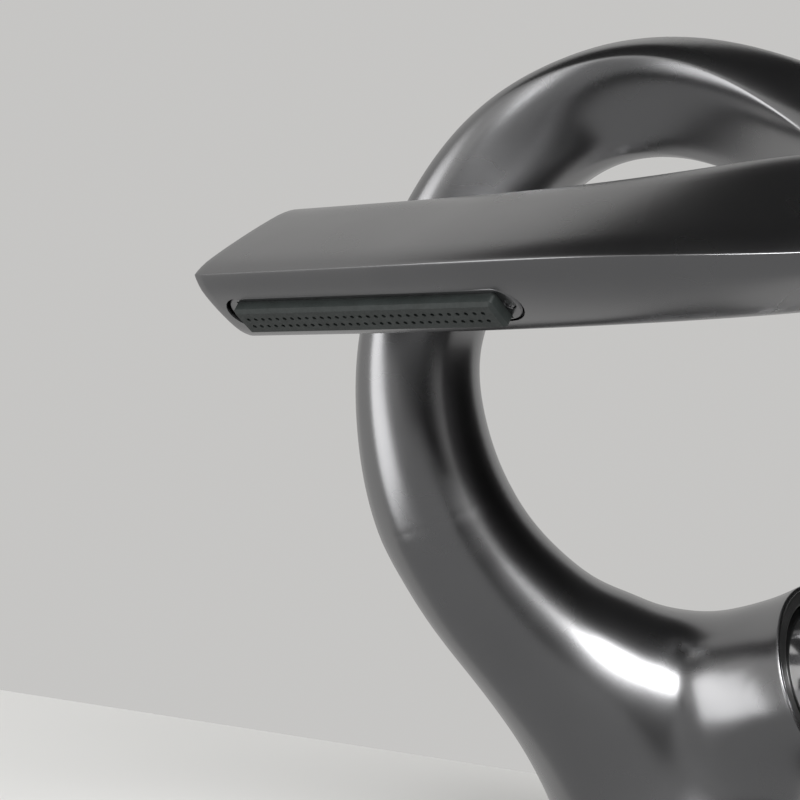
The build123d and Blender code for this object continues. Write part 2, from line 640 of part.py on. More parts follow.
with BuildPart() as outlet_nozzle:
    box_bar(NOZZLE_PLANE, NOZZLE_BACK, NOZZLE_FRONT, NOZZLE_LENGTH - CLEARANCE, NOZZLE_WIDTH - CLEARANCE)
    fillet(outlet_nozzle.edges().filter_by(OUTLET_AXIS), NOZZLE_ROUND)
    chamfer(outlet_nozzle.faces().sort_by(OUTLET_AXIS)[-1].edges(), NOZZLE_CHAMFER)
    with BuildSketch(NOZZLE_PLANE.offset(NOZZLE_BACK)) as jets:
        with GridLocations(JET_PITCH, JET_ROW, JET_COUNT, 2):
            Circle(JET_RADIUS)
    extrude(jets.sketch, amount=NOZZLE_FRONT - NOZZLE_BACK, dir=OUTLET_PLANE.z_dir, mode=Mode.SUBTRACT)

write(outlet_nozzle.part, "outlet_nozzle")

with BuildPart() as flow_screen:
    slot_bar(OUTLET_PLANE, SCREEN_BACK, SCREEN_FRONT, THROAT_LENGTH - CLEARANCE, THROAT_WIDTH - CLEARANCE)
    with BuildSketch(OUTLET_PLANE.offset(SCREEN_BACK)) as screen_holes:
        with GridLocations(SCREEN_PITCH, SCREEN_PITCH, SCREEN_COLUMNS, 3):
            Rectangle(SCREEN_HOLE, SCREEN_HOLE)
    screen_depth = SCREEN_FRONT - SCREEN_BACK
    extrude(screen_holes.sketch, amount=screen_depth, dir=OUTLET_PLANE.z_dir, mode=Mode.SUBTRACT)

write(flow_screen.part, "flow_screen")

with BuildPart() as outlet_screws:
    head = HOLDER_FRONT - SCREW_SET
    round_bar(OUTLET_PLANE, -SCREW_DEPTH + CLEARANCE, head, SCREW_RADIUS, spots=SCREW_SPOTS)

write(outlet_screws.part, "outlet_screws")
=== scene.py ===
"""Looks for the basin mixer faucet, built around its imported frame. Metres, +Z up, origin on the deck."""

import json
from math import cos, pi, radians, sin

import bmesh
import bpy
import numpy as np
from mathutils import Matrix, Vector
from mathutils.bvhtree import BVHTree

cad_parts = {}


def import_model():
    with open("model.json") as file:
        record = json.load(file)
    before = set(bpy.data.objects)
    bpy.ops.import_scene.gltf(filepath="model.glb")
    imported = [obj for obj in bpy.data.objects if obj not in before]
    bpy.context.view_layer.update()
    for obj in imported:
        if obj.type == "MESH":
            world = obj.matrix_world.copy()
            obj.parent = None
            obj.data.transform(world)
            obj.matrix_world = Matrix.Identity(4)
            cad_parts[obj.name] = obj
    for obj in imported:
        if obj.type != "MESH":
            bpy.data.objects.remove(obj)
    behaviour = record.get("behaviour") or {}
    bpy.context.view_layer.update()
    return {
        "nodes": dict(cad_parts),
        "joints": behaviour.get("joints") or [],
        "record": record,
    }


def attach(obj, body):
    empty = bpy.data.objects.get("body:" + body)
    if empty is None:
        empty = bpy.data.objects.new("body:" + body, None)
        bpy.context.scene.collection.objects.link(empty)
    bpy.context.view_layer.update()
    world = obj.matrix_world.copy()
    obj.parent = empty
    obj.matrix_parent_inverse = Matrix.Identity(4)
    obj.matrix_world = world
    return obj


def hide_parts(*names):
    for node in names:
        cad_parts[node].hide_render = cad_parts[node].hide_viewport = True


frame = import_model()
MM = 0.001

# ---------------------------------------------------------------- sizes, in millimetres

# Base and branch; a waist is a radius and its height
BASE_RADIUS = 31.5
BASE_WAIST = (30.0, 15.0)
BASE_SLOPE = -0.02
TRUNK_RADIUS = 24.5
TRUNK_HEIGHT = 38.7
BRANCH_WAIST = (20.9, 20.0)
MOUTH_RADIUS = 22.5
MOUTH = 40.0
MOUTH_SLOPE = 0.13
RING_SEAT = 36.5
RING_RADIUS = 21.3
MOUTH_BORE = 19.0
NUT_END = 22.0
CHAMBER_RADIUS = 17.7
SEAT = -4.0
RECESS_RADIUS = 21.0
RECESS_DEPTH = 6.0
GASKET_INNER = 22.5
GASKET_OUTER = 26.0
GASKET_THICKNESS = 2.0

# Spout: place, front ridge direction, reach, height, lean and roundness of each section
STATIONS = [
    ((-1, -1, 20), (0.5, 0.85, 0), 24.5, 24.5, 0, 0.55),
    ((-13, -16, 43), (0.5, 0.8, 0.3), 23, 23, 0, 0.55),
    ((-23.5, -30, 60), (0.5, 0.8, 0.3), 19, 19.5, 0, 0.54),
    ((-30.5, -40, 73), (0.5, 0.8, 0.3), 17.5, 17.5, 0, 0.52),
    ((-36.5, -48.5, 90), (0.45, 0.85, 0.2), 16.5, 15.5, 0, 0.5),
    ((-39, -53, 108), (0.45, 0.89, 0.1), 15.5, 13.5, 0, 0.48),
    ((-38.5, -54, 128), (0.4, 0.92, -0.1), 15, 12, -0.5, 0.44),
    ((-31, -49.5, 151), (0.2, 0.9, -0.38), 16, 13, -1.5, 0.36),
    ((-17.5, -40.5, 171.5), (-0.06, 0.84, -0.55), 17, 13.2, -2.5, 0.28),
    ((-1, -28, 182.1), (-0.33, 0.83, -0.44), 17.5, 12.8, -3, 0.25),
    ((15.6, -20.9, 182.0), (-0.2, 0.95, -0.33), 18, 13.2, -3, 0.24),
    ((37.7, -15.4, 174), (0, 0.98, -0.2), 18.5, 14, -3.5, 0.22),
    ((62, -19, 163.5), (0.45, 0.85, -0.12), 19, 14.3, -4, 0.22),
    ((79, -36, 155), (0.85, 0.5, -0.12), 20, 14, -5, 0.2),
    ((84.5, -58, 149.5), (0.98, -0.1, -0.15), 21.5, 13.6, -6, 0.18),
    ((75, -83, 145.8), (0.75, -0.65, -0.2), 23, 13.6, -7, 0.16),
    ((54, -96, 143.5), (0.3, -0.93, -0.12), 23.5, 13.6, -7.4, 0.15),
    ((28, -100.5, 142.3), (0.03, -1, -0.07), 23.5, 13.6, -7.4, 0.14),
    ((-8, -100.5, 142), (0, -1, -0.06), 23.5, 13.6, -7.4, 0.14),
    ((-38.5, -100.5, 142), (0, -1, -0.06), 23.5, 13.6, -7.4, 0.14),
    ((-40.5, -100.5, 142), (0, -1, -0.06), 23.5, 13.6, -7.4, 0.14),
]
TIP_ROUND = 2.5
TIP_SIDE = 9.5
TIP_TURNS = 8
TIP_FACE_RINGS = 7
SIDE_CUTS = 18
ALONG_STEP = 1.6
RIDGE_SOFTNESS = 2.2
RIDGE_ROUNDS = 30
RIDGE_SHARE = 0.5
RIDGE_CROWDING = 0.6
SEAM_STATION = 4

# Outlet, let into the bar's lower front face
FACE_SHARE = 0.55
FACE_BULGE = 1.3
OUTLET_X = -1.5
SLOT_LENGTH = 74.0
SLOT_WIDTH = 10.0
SLOT_DEPTH = 3.2
THROAT_LENGTH = 60.0
THROAT_WIDTH = 5.6
THROAT_DEPTH = 10.0
SCREW_REACH = 34.4
SCREW_RADIUS = 1.2
SCREW_DEPTH = 8.0
PAST_FACE = 6.0

# Holes under the base
INLET_X = -8.0
INLET_Y = 7.5
INLET_RADIUS = 4.5
STUD_X = 11.0
STUD_HOLE_RADIUS = 4.0
HOLE_TOP = 18.0

# Cutters
CUT_OVERLAP = 1.0
SLOT_OVERLAP = 0.2
SLOT_END_STEPS = 12
HOLE_POINTS = 24

# Edges of the small pieces
EDGE_WIDTH = 0.12
EDGE_ANGLE = radians(40)
PIECE_CREASE_ANGLE = radians(35)
SKIN_CREASE_ANGLE = radians(50)

# Junction of base, branch and stem
VOXEL = 1.1
BLEND_REACH = 19.0
CORNER_GAIN = 1.6
SETTLE_ROUNDS = 6
SETTLE_SHARE = 0.6
SMOOTH_ROUNDS = 70
SMOOTH_SHARE = 0.5
SMOOTH_REACH = 12.0
SEAM_MARGIN = 2.0
WALL_POINTS = 60
DOME_STEPS = 39
ROUGH_WALL_POINTS = 24
ROUGH_DOME_STEPS = 15

# Ends of the junction's shapes, hidden below the base and past the mouth
BELOW_BASE = -30
ROUGH_BELOW_BASE = -12
ROUGH_AXIS_HOLE = 0.01
PAST_MOUTH = 10
PAST_MOUTH_FLARE = 1.3
ROUGH_PAST_MOUTH = 4
ROUGH_PAST_MOUTH_FLARE = 0.5

# Seams between the junction and the turned foot, the turned mouth and the spout
BASE_SEAM = 8.0
MOUTH_SEAM = 37.5
SEAM_GAP = 0.5
ON_PLANE = 0.05
WELD_GAP = 0.01

# Turned foot and mouth
LATHE_TURNS = 160
FOOT_WALL_RINGS = 6
FOOT_ROUND = 0.6
FOOT_ROUND_STEPS = 5
MOUTH_WALL_RINGS = 4
RIM_ROUND = 0.4
RIM_ROUND_STEPS = 4
LIP_CHAMFER = 0.15
SEAT_CLEARANCE = 0.1
CORNER_HOLD = 0.12

# ---------------------------------------------------------------- places from the frame

joints = {joint["name"]: joint for joint in frame["joints"]}
HANDLE_AXIS = Vector(joints["handle_temperature"]["axis"]).normalized()
HANDLE_FOOT = Vector(joints["handle_temperature"]["pos_m"]) / MM
SIDE = Vector(joints["handle_flow"]["axis"]).normalized()
DECK_UP = Vector((0, 0, 1))

_, BAR_FRONT, BAR_REACH, BAR_HEIGHT, BAR_LEAN, _ = STATIONS[-1]
BAR_TURN = Vector(BAR_FRONT).normalized()
BAR_UP = Vector((-1, 0, 0)).cross(BAR_TURN)
FRONT_RIDGE = Vector(STATIONS[-1][0]) + BAR_TURN * BAR_REACH
LOWER_RIDGE = Vector(STATIONS[-1][0]) - BAR_TURN * BAR_LEAN - BAR_UP * BAR_HEIGHT
OUTLET_UP = (FRONT_RIDGE - LOWER_RIDGE).normalized()
OUTLET_OUT = Vector((1, 0, 0)).cross(OUTLET_UP)
OUTLET_MIDDLE = FRONT_RIDGE + (LOWER_RIDGE - FRONT_RIDGE) * FACE_SHARE + OUTLET_OUT * FACE_BULGE
OUTLET_MIDDLE.x = OUTLET_X


def place(points, origin, along):
    """Points in the part's frame, from a local frame with Z along an axis and Y to the handle's side."""
    z = along.normalized()
    axes = np.array([SIDE.cross(z), SIDE, z])
    return np.asarray(points, float) @ axes + np.array(origin)


# ---------------------------------------------------------------- mesh helpers


def make_object(name, points, faces):
    """A smooth-shaded mesh object from points in millimetres."""
    mesh = bpy.data.meshes.new(name)
    mesh.from_pydata([tuple(p) for p in np.asarray(points, float) * MM], [], faces)
    mesh.validate()
    mesh.update()
    mesh.shade_smooth()
    item = bpy.data.objects.new(name, mesh)
    bpy.context.scene.collection.objects.link(item)
    return item


def grid_faces(rows, columns):
    """Quads of a grid of points, row after row, closed round each row."""
    return [
        (
            row * columns + column,
            row * columns + (column + 1) % columns,
            (row + 1) * columns + (column + 1) % columns,
            (row + 1) * columns + column,
        )
        for row in range(rows - 1)
        for column in range(columns)
    ]


def arc(radius, start, end, steps, middle):
    """Points on an arc between two angles, without the first one."""
    turns = np.linspace(start, end, steps + 1)[1:]
    return [(middle[0] + radius * cos(turn), middle[1] + radius * sin(turn)) for turn in turns]


def lathe(profile, origin, along):
    """Rings of points about an axis, from (radius, height) pairs."""
    angles = np.arange(LATHE_TURNS) * 2 * pi / LATHE_TURNS
    round_x, round_y = np.cos(angles), np.sin(angles)
    rings = [np.stack([r * round_x, r * round_y, np.full(LATHE_TURNS, h)], 1) for r, h in profile]
    return [place(ring, origin, along) for ring in rings]


def natural_spline(knots, values, places, start_slope=None, end_slope=None):
    """Cubic spline values at places; ends are free, or follow a given slope."""
    count = len(knots)
    gaps = np.diff(knots)
    shape = values.shape[1:]
    flat = values.reshape(count, -1)
    left = np.zeros((count, count))
    right = np.zeros((count, flat.shape[1]))
    rates = np.diff(flat, axis=0) / gaps[:, None]
    for k in range(1, count - 1):
        left[k, k - 1 : k + 2] = gaps[k - 1], 2 * (gaps[k - 1] + gaps[k]), gaps[k]
        right[k] = 6 * (rates[k] - rates[k - 1])
    left[0, 0] = left[-1, -1] = 1
    if start_slope is not None:
        left[0, :2] = 2 * gaps[0], gaps[0]
        right[0] = 6 * (rates[0] - np.ravel(start_slope))
    if end_slope is not None:
        left[-1, -2:] = gaps[-1], 2 * gaps[-1]
        right[-1] = 6 * (np.ravel(end_slope) - rates[-1])
    bends = np.linalg.solve(left, right)
    k = np.clip(np.searchsorted(knots, places, side="right") - 1, 0, count - 2)
    gap = gaps[k][:, None]
    a = (knots[k + 1] - places)[:, None] / gap
    b = 1 - a
    straight = a * flat[k] + b * flat[k + 1]
    curved = ((a**3 - a) * bends[k] + (b**3 - b) * bends[k + 1]) * gap**2 / 6
    return (straight + curved).reshape((len(places),) + shape)


# ---------------------------------------------------------------- spout surface


def spout_rings():
    """Rings of points along the spout, from the root to the rounded tip, and the seam ring's number."""
    centres = np.array([station[0] for station in STATIONS], float)
    knots = np.concatenate([[0], np.cumsum(np.linalg.norm(np.diff(centres, axis=0), axis=1))])
    nudge = 0.01
    ahead = natural_spline(knots, centres, np.minimum(knots + nudge, knots[-1]))
    behind = natural_spline(knots, centres, np.maximum(knots - nudge, 0))
    nets = []
    for (centre, front, reach, height, lean, bend), step in zip(STATIONS, ahead - behind):
        along = step / np.linalg.norm(step)
        x = np.array(front, float)
        x -= along * x.dot(along)
        x /= np.linalg.norm(x)
        y = np.cross(along, x)
        front_ridge = x * reach
        upper_ridge = x * lean + y * height
        ridges = [front_ridge, upper_ridge, -front_ridge, -upper_ridge]
        net = []
        for side, start in enumerate(ridges):
            end = ridges[(side + 1) % 4]
            net += [start, start + end * bend, end + start * bend]
        nets.append(np.array(net) + centre)
    nets = np.array(nets)
    count = int(knots[-1] / ALONG_STEP)
    places = np.unique(np.concatenate([np.linspace(0, knots[-1], count), knots]))
    smooth_nets = natural_spline(knots, nets, places)
    seam = int(np.searchsorted(places, knots[SEAM_STATION]))
    rings = [softened(outline(net)) for net in smooth_nets]
    tip = rings[-1]
    middle = centres[-1]
    onward = np.array([-1.0, 0, 0])
    for turn in np.linspace(0, pi / 2, TIP_TURNS + 1)[1:]:
        shrink = 1 - TIP_ROUND * (1 - cos(turn)) / TIP_SIDE
        rings.append(middle + (tip - middle) * shrink + onward * TIP_ROUND * sin(turn))
    rim = rings[-1]
    hub = middle + onward * TIP_ROUND
    rings += [hub + (rim - hub) * share for share in np.linspace(1, 0, TIP_FACE_RINGS)[1:-1]]
    return rings, seam


def outline(net):
    """Points round one section, closer together near its ridges."""
    crowded = 0.5 - 0.5 * np.cos(np.linspace(0, pi, SIDE_CUTS + 1)[:-1])
    even = np.linspace(0, 1, SIDE_CUTS + 1)[:-1]
    t = (RIDGE_CROWDING * crowded + (1 - RIDGE_CROWDING) * even)[:, None]
    sides = []
    for side in range(4):
        a, b, c = net[3 * side : 3 * side + 3]
        d = net[(3 * side + 3) % 12]
        inner_bends = 3 * (1 - t) ** 2 * t * b + 3 * (1 - t) * t * t * c
        sides.append((1 - t) ** 3 * a + inner_bends + t**3 * d)
    return np.concatenate(sides)


def softened(ring):
    """The outline with its four ridges rounded over, and nothing else moved."""
    quarter = len(ring) // 4
    ridges = ring[::quarter]
    gaps = np.linalg.norm(ring[:, None] - ridges[None], axis=2).min(1)
    share = np.exp(-((gaps / RIDGE_SOFTNESS) ** 2))[:, None]
    out = ring.copy()
    for _ in range(RIDGE_ROUNDS):
        before = np.roll(out, 1, 0)
        after = np.roll(out, -1, 0)
        step_before = np.linalg.norm(out - before, axis=1)[:, None]
        step_after = np.linalg.norm(out - after, axis=1)[:, None]
        level = (before * step_after + after * step_before) / (step_before + step_after)
        out += (level - out) * RIDGE_SHARE * share
    return out


def closed_faces(rings):
    """Faces of rings of equal length, with flat end caps."""
    columns = len(rings[0])
    first_cap = tuple(range(columns))[::-1]
    last_cap = tuple(range((len(rings) - 1) * columns, len(rings) * columns))
    return [*grid_faces(len(rings), columns), first_cap, last_cap]


# ---------------------------------------------------------------- junction of base, branch and stem


def trunk_radius(height):
    """Outer radius of the base at a height, up to where its dome starts."""
    knots = np.array([0, BASE_WAIST[1], TRUNK_HEIGHT])
    radii = np.array([[BASE_RADIUS], [BASE_WAIST[0]], [TRUNK_RADIUS]])
    return natural_spline(knots, radii, np.atleast_1d(height), [BASE_SLOPE], [0.0])[:, 0]


def branch_radius(height):
    """Outer radius of the branch at a height along the handle axis."""
    knots = np.array([0, BRANCH_WAIST[1], MOUTH])
    radii = np.array([[TRUNK_RADIUS], [BRANCH_WAIST[0]], [MOUTH_RADIUS]])
    return natural_spline(knots, radii, np.atleast_1d(height), [0.0], [MOUTH_SLOPE])[:, 0]


def radii_up(radius, start, end, count):
    """Radius and height pairs of a side wall, from one height to another."""
    return [(float(radius(height)[0]), height) for height in np.linspace(start, end, count)]


def profile_distance(points, origin, along, profile):
    """Signed distance and outward direction from a turned shape, given as (radius, height) points."""
    local = points - np.array(origin)
    axis = np.array(along)
    heights = local @ axis
    radial = local - heights[:, None] * axis
    radii = np.linalg.norm(radial, axis=1)
    outward = radial / np.maximum(radii, 1e-9)[:, None]
    flat = np.stack([radii, heights], 1)
    start, end = profile[:-1], profile[1:]
    run = end - start
    length2 = (run**2).sum(1)
    offset = flat[:, None, :] - start[None]
    share = np.clip((offset * run).sum(2) / length2, 0, 1)
    away = offset - share[:, :, None] * run
    gap2 = (away**2).sum(2)
    nearest = gap2.argmin(1)
    pick = np.arange(len(flat))
    away = away[pick, nearest]
    gap = np.sqrt(gap2[pick, nearest])
    level = flat[:, 1:]
    straddles = (start[:, 1] > level) != (end[:, 1] > level)
    rise = np.where(run[:, 1] == 0, 1, run[:, 1])
    crossing = start[:, 0] + run[:, 0] * (level - start[:, 1]) / rise
    inside = (straddles & (flat[:, :1] < crossing)).sum(1) % 2 == 1
    side = np.where(inside, -1.0, 1.0)
    direction = away / np.maximum(gap, 1e-9)[:, None] * side[:, None]
    return gap * side, direction[:, :1] * outward + direction[:, 1:] * axis


def tube_distance(points, tree, side_count):
    """Signed distance and outward direction from the spout. Nearest to an end face counts as outside."""
    gaps = np.empty(len(points))
    outward = np.empty((len(points), 3))
    for k, point in enumerate(points):
        near, normal, face, gap = tree.find_nearest(point)
        away = Vector(point) - near
        side = 1 if face >= side_count or away.dot(normal) >= 0 else -1
        gaps[k] = gap * side
        outward[k] = away.normalized() * side if gap > 1e-4 else normal
    return gaps, outward


def merge(first, second):
    """Smooth union of two distance fields. It fills corners, but not where surfaces run together."""
    gap_a, way_a = first
    gap_b, way_b = second
    share = np.clip(0.5 + 0.5 * (gap_b - gap_a) / BLEND_REACH, 0, 1)
    corner = np.clip(CORNER_GAIN * (1 - (way_a * way_b).sum(1)), 0, 1)
    fill = np.maximum(BLEND_REACH - abs(gap_a - gap_b), 0) ** 2 / (4 * BLEND_REACH)
    way = way_b + (way_a - way_b) * share[:, None]
    return np.minimum(gap_a, gap_b) - fill * corner, way / np.linalg.norm(way, axis=1)[:, None]


def junction_field(rings):
    """The function that gives distance and direction from the smooth union of stem, base and branch."""
    tree = BVHTree.FromPolygons([Vector(p) for ring in rings for p in ring], closed_faces(rings))
    side_count = (len(rings) - 1) * len(rings[0])
    heights = np.linspace(0, TRUNK_HEIGHT, WALL_POINTS)
    wall = np.stack([trunk_radius(heights), heights], 1)
    dome = arc(TRUNK_RADIUS, 0, pi / 2, DOME_STEPS, (0, TRUNK_HEIGHT))
    trunk = np.concatenate([[(0, BELOW_BASE), (BASE_RADIUS, BELOW_BASE)], wall, dome])
    heights = np.linspace(0, MOUTH, WALL_POINTS)
    neck = np.stack([branch_radius(heights), heights], 1)
    flare = [(MOUTH_RADIUS + PAST_MOUTH_FLARE, MOUTH + PAST_MOUTH), (0, MOUTH + PAST_MOUTH)]
    branch = np.concatenate([[(0, 0)], neck, flare])

    def field(points):
        base = profile_distance(points, (0, 0, 0), (0, 0, 1), trunk)
        side = profile_distance(points, HANDLE_FOOT, HANDLE_AXIS, branch)
        return merge(merge(tube_distance(points, tree, side_count), base), side)

    return field


def remeshed_union(rings):
    """Vertices and faces of an even mesh over the stem's foot, the base and the branch."""
    trunk = [(ROUGH_AXIS_HOLE, ROUGH_BELOW_BASE), (BASE_RADIUS, ROUGH_BELOW_BASE)]
    trunk += radii_up(trunk_radius, 0, TRUNK_HEIGHT, ROUGH_WALL_POINTS)
    trunk += arc(TRUNK_RADIUS, 0, pi / 2, ROUGH_DOME_STEPS, (0, TRUNK_HEIGHT))[:-1]
    branch = radii_up(branch_radius, 0, MOUTH, ROUGH_WALL_POINTS)
    branch.append((MOUTH_RADIUS + ROUGH_PAST_MOUTH_FLARE, MOUTH + ROUGH_PAST_MOUTH))
    shapes = [rings, lathe(trunk, (0, 0, 0), DECK_UP), lathe(branch, HANDLE_FOOT, HANDLE_AXIS)]
    points, faces = [], []
    for shape in shapes:
        first = len(points)
        points += [p for ring in shape for p in ring]
        faces += [tuple(first + v for v in face) for face in closed_faces(shape)]
    rough = make_object("rough_union", points, faces)
    remesh = rough.modifiers.new("remesh", "REMESH")
    remesh.mode = "VOXEL"
    remesh.voxel_size = VOXEL * MM
    mesh = rough.evaluated_get(bpy.context.evaluated_depsgraph_get()).to_mesh()
    bm = bmesh.new()
    bm.from_mesh(mesh)
    bpy.data.objects.remove(rough)
    bmesh.ops.scale(bm, vec=Vector((1, 1, 1)) / MM, verts=bm.verts)
    return bm


def cut_away(bm, origin, outward):
    """Removes what lies beyond a plane."""
    bmesh.ops.bisect_plane(
        bm,
        geom=[*bm.verts, *bm.edges, *bm.faces],
        dist=1e-5,
        plane_co=Vector(origin),
        plane_no=Vector(outward),
        clear_outer=True,
    )


def settle(bm, field, cuts):
    """Moves every vertex onto the smooth union, evens out the mesh between steps, then smooths it."""
    bm.verts.ensure_lookup_table()
    points = np.array([v.co for v in bm.verts])
    edges = np.array([(e.verts[0].index, e.verts[1].index) for e in bm.edges])
    rim = {v.index for e in bm.edges if len(e.link_faces) < 2 for v in e.verts}
    inner = np.ones(len(points), bool)
    inner[list(rim)] = False
    weight = np.bincount(edges.ravel(), minlength=len(points))[:, None]

    def even_out(share):
        total = np.zeros_like(points)
        np.add.at(total, edges[:, 0], points[edges[:, 1]])
        np.add.at(total, edges[:, 1], points[edges[:, 0]])
        points[inner] += (share * (total / weight - points))[inner]

    for _ in range(SETTLE_ROUNDS):
        gap, way = field(points)
        points -= np.clip(gap, -VOXEL, VOXEL)[:, None] * way
        even_out(SETTLE_SHARE)
    seam_gaps = [(points - np.array(origin)) @ -np.array(outward) for origin, outward in cuts]
    away_from_seams = np.clip((np.min(seam_gaps, 0) - SEAM_MARGIN) / SMOOTH_REACH, 0, 1)[:, None]
    for _ in range(SMOOTH_ROUNDS):
        even_out(SMOOTH_SHARE * away_from_seams)
    for vert, point in zip(bm.verts, points):
        vert.co = point


def turned_round(verts, origin, outward):
    """Vertices with their angles round an axis, sorted by angle."""
    across = outward.orthogonal().normalized()
    up = outward.cross(across)
    spokes = [(v.co - origin, v) for v in verts]
    turned = [(float(np.arctan2(spoke.dot(up), spoke.dot(across))), v) for spoke, v in spokes]
    return sorted(turned, key=lambda pair: pair[0])


def rim_loop(bm, origin, outward):
    """Boundary vertices that lie on a plane, in order round its axis, with their angles."""
    rim = {v for e in bm.edges if len(e.link_faces) == 1 for v in e.verts}
    on_plane = {v for v in rim if abs((v.co - origin).dot(outward)) < ON_PLANE}
    return turned_round(on_plane, origin, outward)


def zip_loops(bm, first, second):
    """Joins two rings of vertices, each sorted by angle, with a band of triangles."""
    n, m = len(first), len(second)
    start = min(range(m), key=lambda k: abs(second[k][0] - first[0][0]))
    second = second[start:] + [(angle + 2 * pi, vert) for angle, vert in second[:start]]
    first = first + [(first[0][0] + 2 * pi, first[0][1])]
    second = second + [(second[0][0] + 2 * pi, second[0][1])]
    i = j = 0
    while i < n or j < m:
        if j == m or (i < n and first[i + 1][0] + first[i][0] <= second[j + 1][0] + second[j][0]):
            bm.faces.new((first[i][1], first[i + 1][1], second[j][1]))
            i += 1
        else:
            bm.faces.new((first[i][1], second[j + 1][1], second[j][1]))
            j += 1


def add_rings(bm, rings):
    """Adds a tube of rings, closed at its far end, to a mesh; returns the vertices of its first ring."""
    columns = len(rings[0])
    verts = [bm.verts.new(p) for ring in rings for p in ring]
    for face in grid_faces(len(rings), columns):
        bm.faces.new([verts[k] for k in face])
    bm.faces.new(verts[-columns:])
    return verts[:columns]


def mouth_profile():
    """Radius and height pairs of the branch's rim, the ring's seat, the bore and the chamber."""
    outer = radii_up(branch_radius, MOUTH_SEAM + SEAM_GAP, MOUTH - RIM_ROUND, MOUTH_WALL_RINGS)
    rim = outer[-1][0]
    outer += arc(RIM_ROUND, 0, pi / 2, RIM_ROUND_STEPS, (rim - RIM_ROUND, MOUTH - RIM_ROUND))
    seat = RING_RADIUS + SEAT_CLEARANCE
    lip = [(seat + LIP_CHAMFER, MOUTH), (seat, MOUTH - LIP_CHAMFER)]
    bore_edge = [(MOUTH_BORE + LIP_CHAMFER, RING_SEAT), (MOUTH_BORE, RING_SEAT - LIP_CHAMFER)]
    bore = [(MOUTH_BORE, NUT_END), (CHAMBER_RADIUS, NUT_END), (CHAMBER_RADIUS, SEAT)]
    return held_corners([*outer, *lip, (seat, RING_SEAT), *bore_edge, *bore])


def foot_profile():
    """Radius and height pairs of the base's lower edge, the gasket groove and the recess."""
    outer = radii_up(trunk_radius, BASE_SEAM - SEAM_GAP, FOOT_ROUND, FOOT_WALL_RINGS)
    edge = outer[-1][0]
    outer += arc(FOOT_ROUND, 0, -pi / 2, FOOT_ROUND_STEPS, (edge - FOOT_ROUND, FOOT_ROUND))
    groove = [(GASKET_OUTER, 0), (GASKET_OUTER, GASKET_THICKNESS), (GASKET_INNER, GASKET_THICKNESS)]
    recess = [(GASKET_INNER, 0), (RECESS_RADIUS, 0), (RECESS_RADIUS, RECESS_DEPTH)]
    return held_corners([*outer, *groove, *recess])


def held_corners(profile):
    """The profile with a point close to each end of its long runs, so that its corners stay crisp."""
    out = [profile[0]]
    for (r0, h0), (r1, h1) in zip(profile, profile[1:]):
        run = np.hypot(r1 - r0, h1 - h0)
        if run > 4 * CORNER_HOLD:
            share = CORNER_HOLD / run
            out.append((r0 + (r1 - r0) * share, h0 + (h1 - h0) * share))
            out.append((r1 - (r1 - r0) * share, h1 - (h1 - h0) * share))
        out.append((r1, h1))
    return out


def stadium(length, width):
    """Points round a slot with half-round ends, about its middle."""
    half = length / 2 - width / 2
    angles = np.linspace(-pi / 2, pi / 2, SLOT_END_STEPS + 1)
    right = [(half + width / 2 * cos(t), width / 2 * sin(t)) for t in angles]
    left = [(-x, -y) for x, y in right]
    return np.array(right + left)


def circle(radius, middle):
    """Points round a circle."""
    angles = np.arange(HOLE_POINTS) * 2 * pi / HOLE_POINTS
    return np.stack([middle[0] + radius * np.cos(angles), middle[1] + radius * np.sin(angles)], 1)


def prism(outline_points, low, high):
    """Points and faces of an upright bar with a flat outline, between two heights."""
    count = len(outline_points)
    points = [(x, y, low) for x, y in outline_points] + [(x, y, high) for x, y in outline_points]
    faces = [(k, (k + 1) % count, count + (k + 1) % count, count + k) for k in range(count)]
    faces += [tuple(range(count))[::-1], tuple(range(count, 2 * count))]
    return points, faces


def outlet_points(points):
    """Points in the part's frame, from x along the slot, y towards the front ridge and z outwards."""
    axes = np.array([(1, 0, 0), OUTLET_UP, OUTLET_OUT])
    return points @ axes + np.array(OUTLET_MIDDLE)


def cut_sockets(item):
    """Cuts the outlet's stepped recess and screw holes, and the holes under the base."""
    in_slot = SLOT_OVERLAP - SLOT_DEPTH
    hole_start = RECESS_DEPTH - CUT_OVERLAP
    cutters = [
        (outlet_points, stadium(SLOT_LENGTH, SLOT_WIDTH), -SLOT_DEPTH, PAST_FACE),
        (outlet_points, stadium(THROAT_LENGTH, THROAT_WIDTH), -THROAT_DEPTH, in_slot),
        (outlet_points, circle(SCREW_RADIUS, (SCREW_REACH, 0)), -SCREW_DEPTH, in_slot),
        (outlet_points, circle(SCREW_RADIUS, (-SCREW_REACH, 0)), -SCREW_DEPTH, in_slot),
        (np.asarray, circle(INLET_RADIUS, (INLET_X, INLET_Y)), hole_start, HOLE_TOP),
        (np.asarray, circle(INLET_RADIUS, (INLET_X, -INLET_Y)), hole_start, HOLE_TOP),
        (np.asarray, circle(STUD_HOLE_RADIUS, (STUD_X, 0)), hole_start, HOLE_TOP),
    ]
    for to_place, outline_points, low, high in cutters:
        points, faces = prism(outline_points, low, high)
        cutter = make_object("cutter", to_place(np.array(points)), faces)
        cut = item.modifiers.new("cut", "BOOLEAN")
        cut.operation = "DIFFERENCE"
        cut.solver = "EXACT"
        cut.object = cutter
        shown = item.evaluated_get(bpy.context.evaluated_depsgraph_get())
        mesh = bpy.data.meshes.new_from_object(shown)
        item.modifiers.clear()
        item.data = mesh
        bpy.data.objects.remove(cutter)


